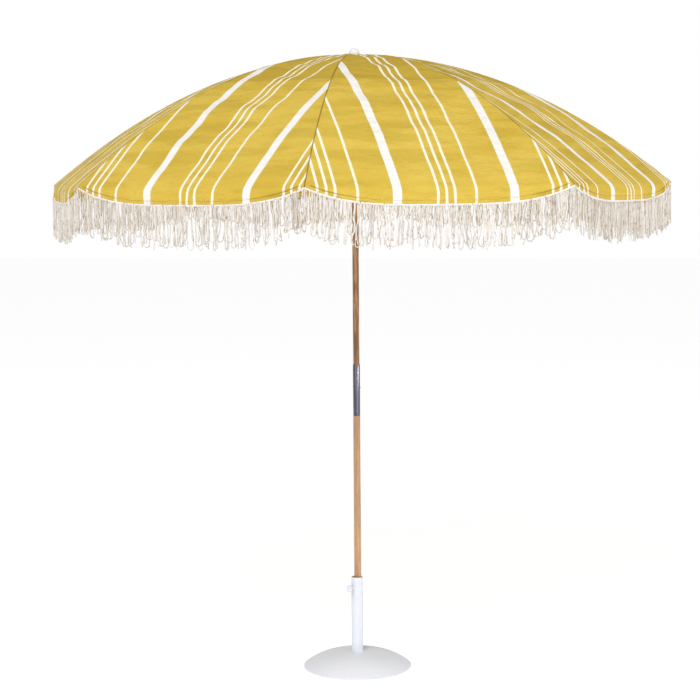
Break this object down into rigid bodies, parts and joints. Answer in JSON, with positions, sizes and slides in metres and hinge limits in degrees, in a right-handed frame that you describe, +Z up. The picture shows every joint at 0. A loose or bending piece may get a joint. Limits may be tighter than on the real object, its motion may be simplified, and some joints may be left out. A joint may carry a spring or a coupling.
{
  "type": "beach umbrella",
  "caption": "Folding beach umbrella: ribbed, fringed canvas canopy on a two-piece wooden pole that stands in a round weighted base.",
  "frame": {"origin": "on the ground, on the axis of the pole, under the centre of the canopy", "axes": "+Z up the pole; one rib points along +X and one along -Y"},
  "size_m": [2.2026, 2.2026, 2.218],
  "materials": {
    "canvas": "woven cotton canvas, mustard with cream stripes",
    "fringe_cotton": "twisted cotton fringe, off-white",
    "rib_steel": "white enamel",
    "upper_wood": "varnished, darker",
    "lower_wood": "varnished, lighter",
    "ferrule_steel": "drawn steel tube, satin",
    "bright_steel": "bright",
    "white_nylon": "moulded, satin",
    "base_paint": "white powder coat"
  },
  "bodies": {
    "base": {"base_disc": "base_paint", "base_tube": "base_paint", "screw_boss": "base_paint"},
    "thumb_screw": {"thumb_screw": "base_paint"},
    "lower_pole": {"lower_pole": "lower_wood", "ferrule": "ferrule_steel", "ferrule_pin": "bright_steel"},
    "upper_pole": {"upper_pole": "upper_wood", "crown": "white_nylon", "crown_ring": "bright_steel", "crown_pin": "bright_steel", "top_patch": "canvas", "finial": "white_nylon", "finial_stud": "bright_steel", "catch_pin": "bright_steel", "button_spring": "bright_steel"},
    "snap_button": {"snap_button": "bright_steel"},
    "runner_catch": {"runner_catch": "bright_steel"},
    "runner": {"runner": "white_nylon"},
    "rib_1": {"rib_1": "rib_steel", "canopy_1": "canvas"},
    "stretcher_1": {"stretcher_1": "rib_steel"},
    "hem_1": {"valance_1": "canvas", "fringe_1": "fringe_cotton"},
    "rib_2": {"rib_2": "rib_steel", "canopy_2": "canvas"},
    "stretcher_2": {"stretcher_2": "rib_steel"},
    "hem_2": {"valance_2": "canvas", "fringe_2": "fringe_cotton"},
    "rib_3": {"rib_3": "rib_steel", "canopy_3": "canvas"},
    "stretcher_3": {"stretcher_3": "rib_steel"},
    "hem_3": {"valance_3": "canvas", "fringe_3": "fringe_cotton"},
    "rib_4": {"rib_4": "rib_steel", "canopy_4": "canvas"},
    "stretcher_4": {"stretcher_4": "rib_steel"},
    "hem_4": {"valance_4": "canvas", "fringe_4": "fringe_cotton"},
    "rib_5": {"rib_5": "rib_steel", "canopy_5": "canvas"},
    "stretcher_5": {"stretcher_5": "rib_steel"},
    "hem_5": {"valance_5": "canvas", "fringe_5": "fringe_cotton"},
    "rib_6": {"rib_6": "rib_steel", "canopy_6": "canvas"},
    "stretcher_6": {"stretcher_6": "rib_steel"},
    "hem_6": {"valance_6": "canvas", "fringe_6": "fringe_cotton"},
    "rib_7": {"rib_7": "rib_steel", "canopy_7": "canvas"},
    "stretcher_7": {"stretcher_7": "rib_steel"},
    "hem_7": {"valance_7": "canvas", "fringe_7": "fringe_cotton"},
    "rib_8": {"rib_8": "rib_steel", "canopy_8": "canvas"},
    "stretcher_8": {"stretcher_8": "rib_steel"},
    "hem_8": {"valance_8": "canvas", "fringe_8": "fringe_cotton"}
  },
  "joints": [
    {"name": "pole_lift", "type": "slide", "parent": "base", "child": "lower_pole", "axis": [0, 0, 1], "range_m": [0, 0.321]},
    {"name": "screw_turn", "type": "hinge", "parent": "base", "child": "thumb_screw", "pos_m": [-0.01828, -0.02926, 0.293], "axis": [-0.5299, -0.848, 0], "range_deg": [0, 720]},
    {"name": "pole_join", "type": "slide", "parent": "lower_pole", "child": "upper_pole", "axis": [0, 0, 1], "range_m": [0, 0.12], "deforming": ["snap_button"]},
    {"name": "button_press", "type": "slide", "parent": "upper_pole", "child": "snap_button", "axis": [1, 0, 0], "range_m": [-0.0034, 0], "stiffness_N_per_m": 900, "springref_m": 0.002, "deforming": ["button_spring"]},
    {"name": "catch_press", "type": "hinge", "parent": "upper_pole", "child": "runner_catch", "pos_m": [0.00416, 0.00172, 1.69135], "axis": [-0.3827, 0.9239, 0], "range_deg": [-7.5, 0], "stiffness_Nm_per_rad": 1.5, "springref_deg": 2.86},
    {"name": "runner_slide", "type": "slide", "parent": "upper_pole", "child": "runner", "axis": [0, 0, -1], "range_m": [0, 0.51695], "deforming": ["runner_catch", "canopy_1", "valance_1", "fringe_1", "canopy_2", "valance_2", "fringe_2", "canopy_3", "valance_3", "fringe_3", "canopy_4", "valance_4", "fringe_4", "canopy_5", "valance_5", "fringe_5", "canopy_6", "valance_6", "fringe_6", "canopy_7", "valance_7", "fringe_7", "canopy_8", "valance_8", "fringe_8"]},
    {"name": "rib_fold_1", "type": "hinge", "parent": "upper_pole", "child": "rib_1", "pos_m": [0.03, 0, 2.18799], "axis": [0, 1, 0], "range_deg": [0, 65.01]},
    {"name": "stretcher_fold_1", "type": "hinge", "parent": "rib_1", "child": "stretcher_1", "pos_m": [0.43907, 0, 2.11619], "axis": [0, 1, 0], "range_deg": [-104.92, 0]},
    {"name": "hem_fold_1", "type": "hinge", "parent": "rib_1", "child": "hem_1", "pos_m": [1.1, 0, 1.7442], "axis": [0, 1, 0], "range_deg": [-65.01, 0]},
    {"name": "rib_fold_2", "type": "hinge", "parent": "upper_pole", "child": "rib_2", "pos_m": [0.02121, 0.02121, 2.18799], "axis": [-0.7071, 0.7071, 0], "range_deg": [0, 65.01]},
    {"name": "stretcher_fold_2", "type": "hinge", "parent": "rib_2", "child": "stretcher_2", "pos_m": [0.31047, 0.31047, 2.11619], "axis": [-0.7071, 0.7071, 0], "range_deg": [-104.92, 0]},
    {"name": "hem_fold_2", "type": "hinge", "parent": "rib_2", "child": "hem_2", "pos_m": [0.77782, 0.77782, 1.7442], "axis": [-0.7071, 0.7071, 0], "range_deg": [-65.01, 0]},
    {"name": "rib_fold_3", "type": "hinge", "parent": "upper_pole", "child": "rib_3", "pos_m": [0, 0.03, 2.18799], "axis": [-1, 0, 0], "range_deg": [0, 65.01]},
    {"name": "stretcher_fold_3", "type": "hinge", "parent": "rib_3", "child": "stretcher_3", "pos_m": [0, 0.43907, 2.11619], "axis": [-1, 0, 0], "range_deg": [-104.92, 0]},
    {"name": "hem_fold_3", "type": "hinge", "parent": "rib_3", "child": "hem_3", "pos_m": [0, 1.1, 1.7442], "axis": [-1, 0, 0], "range_deg": [-65.01, 0]},
    {"name": "rib_fold_4", "type": "hinge", "parent": "upper_pole", "child": "rib_4", "pos_m": [-0.02121, 0.02121, 2.18799], "axis": [-0.7071, -0.7071, 0], "range_deg": [0, 65.01]},
    {"name": "stretcher_fold_4", "type": "hinge", "parent": "rib_4", "child": "stretcher_4", "pos_m": [-0.31047, 0.31047, 2.11619], "axis": [-0.7071, -0.7071, 0], "range_deg": [-104.92, 0]},
    {"name": "hem_fold_4", "type": "hinge", "parent": "rib_4", "child": "hem_4", "pos_m": [-0.77782, 0.77782, 1.7442], "axis": [-0.7071, -0.7071, 0], "range_deg": [-65.01, 0]},
    {"name": "rib_fold_5", "type": "hinge", "parent": "upper_pole", "child": "rib_5", "pos_m": [-0.03, 0, 2.18799], "axis": [0, -1, 0], "range_deg": [0, 65.01]},
    {"name": "stretcher_fold_5", "type": "hinge", "parent": "rib_5", "child": "stretcher_5", "pos_m": [-0.43907, 0, 2.11619], "axis": [0, -1, 0], "range_deg": [-104.92, 0]},
    {"name": "hem_fold_5", "type": "hinge", "parent": "rib_5", "child": "hem_5", "pos_m": [-1.1, 0, 1.7442], "axis": [0, -1, 0], "range_deg": [-65.01, 0]},
    {"name": "rib_fold_6", "type": "hinge", "parent": "upper_pole", "child": "rib_6", "pos_m": [-0.02121, -0.02121, 2.18799], "axis": [0.7071, -0.7071, 0], "range_deg": [0, 65.01]},
    {"name": "stretcher_fold_6", "type": "hinge", "parent": "rib_6", "child": "stretcher_6", "pos_m": [-0.31047, -0.31047, 2.11619], "axis": [0.7071, -0.7071, 0], "range_deg": [-104.92, 0]},
    {"name": "hem_fold_6", "type": "hinge", "parent": "rib_6", "child": "hem_6", "pos_m": [-0.77782, -0.77782, 1.7442], "axis": [0.7071, -0.7071, 0], "range_deg": [-65.01, 0]},
    {"name": "rib_fold_7", "type": "hinge", "parent": "upper_pole", "child": "rib_7", "pos_m": [0, -0.03, 2.18799], "axis": [1, 0, 0], "range_deg": [0, 65.01]},
    {"name": "stretcher_fold_7", "type": "hinge", "parent": "rib_7", "child": "stretcher_7", "pos_m": [0, -0.43907, 2.11619], "axis": [1, 0, 0], "range_deg": [-104.92, 0]},
    {"name": "hem_fold_7", "type": "hinge", "parent": "rib_7", "child": "hem_7", "pos_m": [0, -1.1, 1.7442], "axis": [1, 0, 0], "range_deg": [-65.01, 0]},
    {"name": "rib_fold_8", "type": "hinge", "parent": "upper_pole", "child": "rib_8", "pos_m": [0.02121, -0.02121, 2.18799], "axis": [0.7071, 0.7071, 0], "range_deg": [0, 65.01]},
    {"name": "stretcher_fold_8", "type": "hinge", "parent": "rib_8", "child": "stretcher_8", "pos_m": [0.31047, -0.31047, 2.11619], "axis": [0.7071, 0.7071, 0], "range_deg": [-104.92, 0]},
    {"name": "hem_fold_8", "type": "hinge", "parent": "rib_8", "child": "hem_8", "pos_m": [0.77782, -0.77782, 1.7442], "axis": [0.7071, 0.7071, 0], "range_deg": [-65.01, 0]}
  ],
  "couplings": [
    {"joint": "rib_fold_1", "follows": "runner_slide", "rad_per_m": 2.1945},
    {"joint": "stretcher_fold_1", "follows": "runner_slide", "rad_per_m": -3.542},
    {"joint": "hem_fold_1", "follows": "runner_slide", "rad_per_m": -2.1945},
    {"joint": "rib_fold_2", "follows": "runner_slide", "rad_per_m": 2.1945},
    {"joint": "stretcher_fold_2", "follows": "runner_slide", "rad_per_m": -3.542},
    {"joint": "hem_fold_2", "follows": "runner_slide", "rad_per_m": -2.1945},
    {"joint": "rib_fold_3", "follows": "runner_slide", "rad_per_m": 2.1945},
    {"joint": "stretcher_fold_3", "follows": "runner_slide", "rad_per_m": -3.542},
    {"joint": "hem_fold_3", "follows": "runner_slide", "rad_per_m": -2.1945},
    {"joint": "rib_fold_4", "follows": "runner_slide", "rad_per_m": 2.1945},
    {"joint": "stretcher_fold_4", "follows": "runner_slide", "rad_per_m": -3.542},
    {"joint": "hem_fold_4", "follows": "runner_slide", "rad_per_m": -2.1945},
    {"joint": "rib_fold_5", "follows": "runner_slide", "rad_per_m": 2.1945},
    {"joint": "stretcher_fold_5", "follows": "runner_slide", "rad_per_m": -3.542},
    {"joint": "hem_fold_5", "follows": "runner_slide", "rad_per_m": -2.1945},
    {"joint": "rib_fold_6", "follows": "runner_slide", "rad_per_m": 2.1945},
    {"joint": "stretcher_fold_6", "follows": "runner_slide", "rad_per_m": -3.542},
    {"joint": "hem_fold_6", "follows": "runner_slide", "rad_per_m": -2.1945},
    {"joint": "rib_fold_7", "follows": "runner_slide", "rad_per_m": 2.1945},
    {"joint": "stretcher_fold_7", "follows": "runner_slide", "rad_per_m": -3.542},
    {"joint": "hem_fold_7", "follows": "runner_slide", "rad_per_m": -2.1945},
    {"joint": "rib_fold_8", "follows": "runner_slide", "rad_per_m": 2.1945},
    {"joint": "stretcher_fold_8", "follows": "runner_slide", "rad_per_m": -3.542},
    {"joint": "hem_fold_8", "follows": "runner_slide", "rad_per_m": -2.1945}
  ]
}
